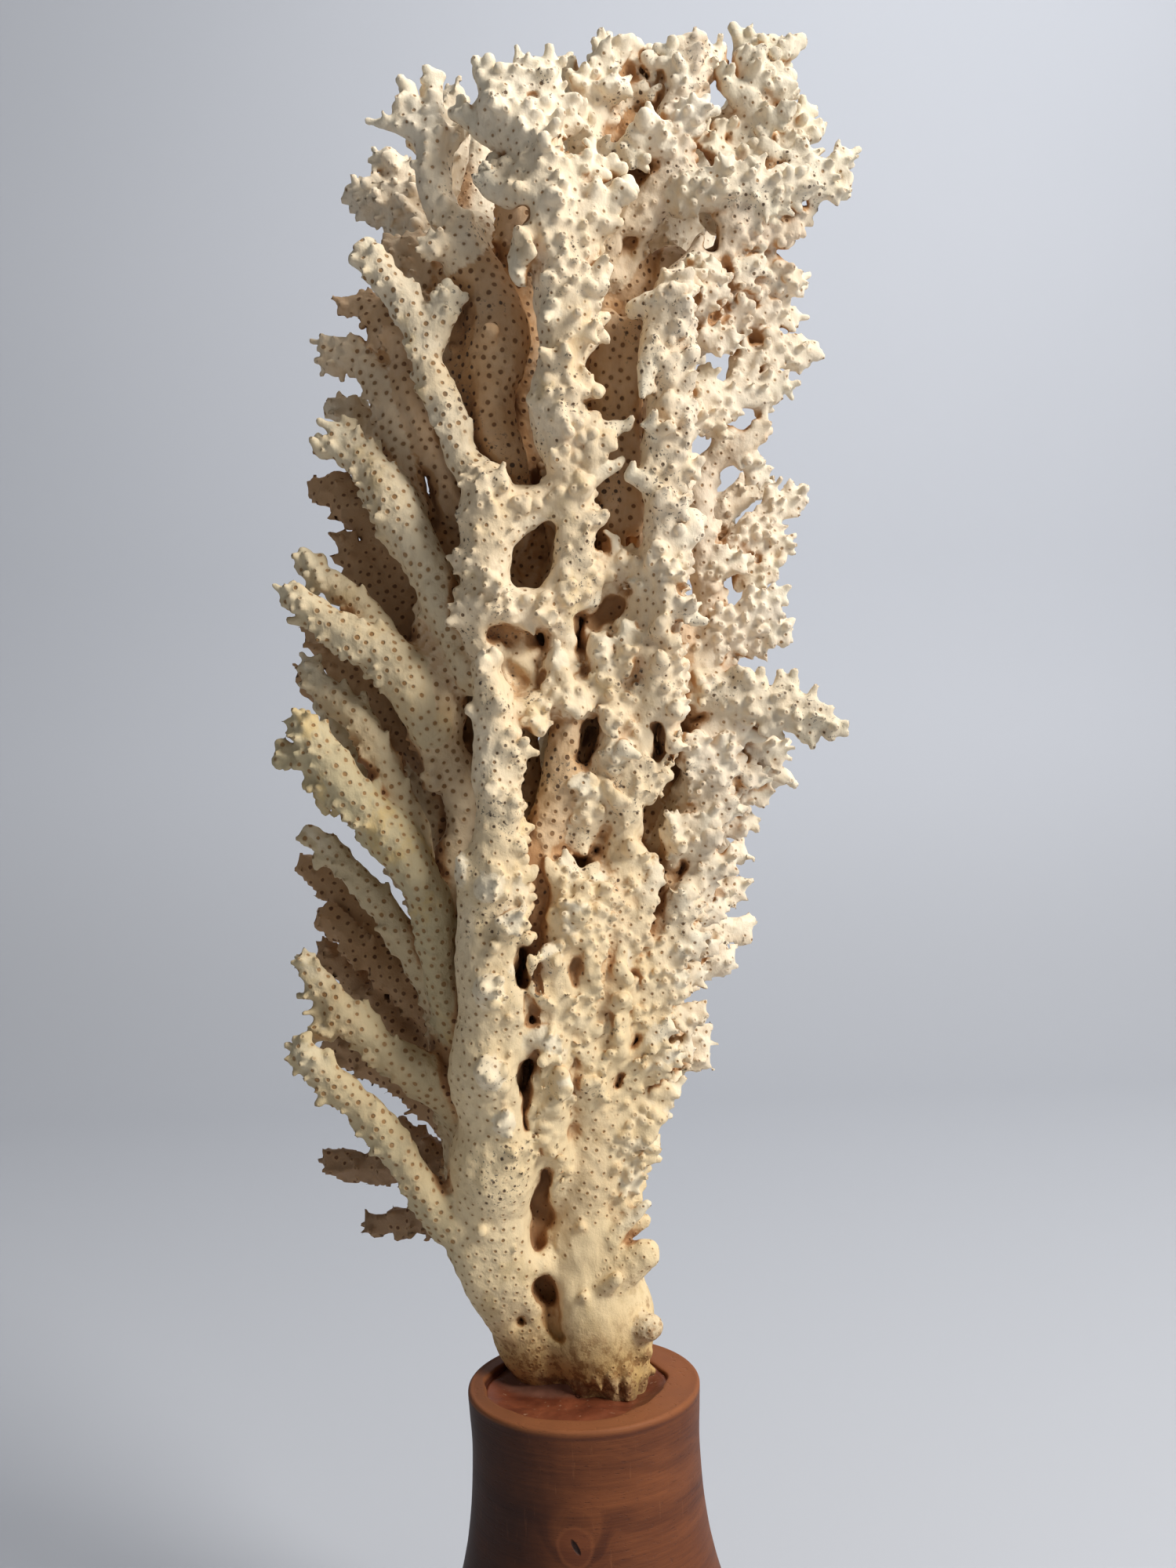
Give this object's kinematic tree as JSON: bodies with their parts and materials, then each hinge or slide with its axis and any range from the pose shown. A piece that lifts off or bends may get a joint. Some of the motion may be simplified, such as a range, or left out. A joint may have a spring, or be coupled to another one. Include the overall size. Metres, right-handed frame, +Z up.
{
  "type": "staghorn coral colony on a turned wooden stand",
  "caption": "Bushy dried staghorn coral colony with dotted smooth limbs and spiny tips, fixed in the filled top of a turned wooden stand.",
  "frame": {"origin": "centre of the stand's flat foot", "axes": "+Z up along the stand's turning axis, +X to the right as the colony is seen from its front, -Y to the front"},
  "size_m": [0.1283, 0.0952, 0.3826],
  "materials": {
    "coral_cream": "dry chalky mineral, rough",
    "coral_tan": "dry chalky mineral, browned in the recesses",
    "turned_wood": "reddish brown turned wood, satin",
    "filler": "reddish brown wax or resin, half gloss"
  },
  "bodies": {
    "root": {"antler": "coral_cream", "back_left_column": "coral_cream", "back_left_fan": "coral_cream", "back_middle_column": "coral_cream", "back_right_column": "coral_cream", "back_right_fan": "coral_cream", "brown_stem": "coral_tan", "filler": "filler", "foot": "coral_cream", "front_column": "coral_cream", "inner_slanted_stem": "coral_tan", "inner_slot_stem": "coral_tan", "left_branch_1": "coral_cream", "left_branch_10": "coral_tan", "left_branch_2": "coral_cream", "left_branch_3": "coral_cream", "left_branch_4": "coral_cream", "left_branch_5": "coral_cream", "left_branch_6": "coral_cream", "left_branch_7": "coral_cream", "left_branch_8": "coral_cream", "left_branch_9": "coral_cream", "left_inner_stem": "coral_cream", "left_inner_upper_stem": "coral_cream", "left_low_twigs": "coral_cream", "left_shaded_branch_1": "coral_cream", "left_shaded_branch_2": "coral_cream", "left_shaded_branch_3": "coral_cream", "left_shaded_branch_4": "coral_cream", "left_top_clump": "coral_cream", "lower_bar": "coral_cream", "middle_column": "coral_cream", "middle_inner_stem": "coral_tan", "middle_top": "coral_cream", "right_branch_1": "coral_cream", "right_branch_2": "coral_cream", "right_branch_3": "coral_cream", "right_branch_4": "coral_cream", "right_branch_5": "coral_cream", "right_branch_6": "coral_tan", "right_branch_7": "coral_cream", "right_column": "coral_cream", "right_fringe_low": "coral_cream", "right_inner_stem": "coral_tan", "right_low_stem": "coral_cream", "right_low_twigs": "coral_cream", "right_stem": "coral_cream", "right_top_branch": "coral_cream", "right_top_stem": "coral_cream", "ring": "coral_cream", "upper_bar": "coral_cream", "upper_column": "coral_cream", "wooden_stand": "turned_wood"}
  },
  "joints": []
}
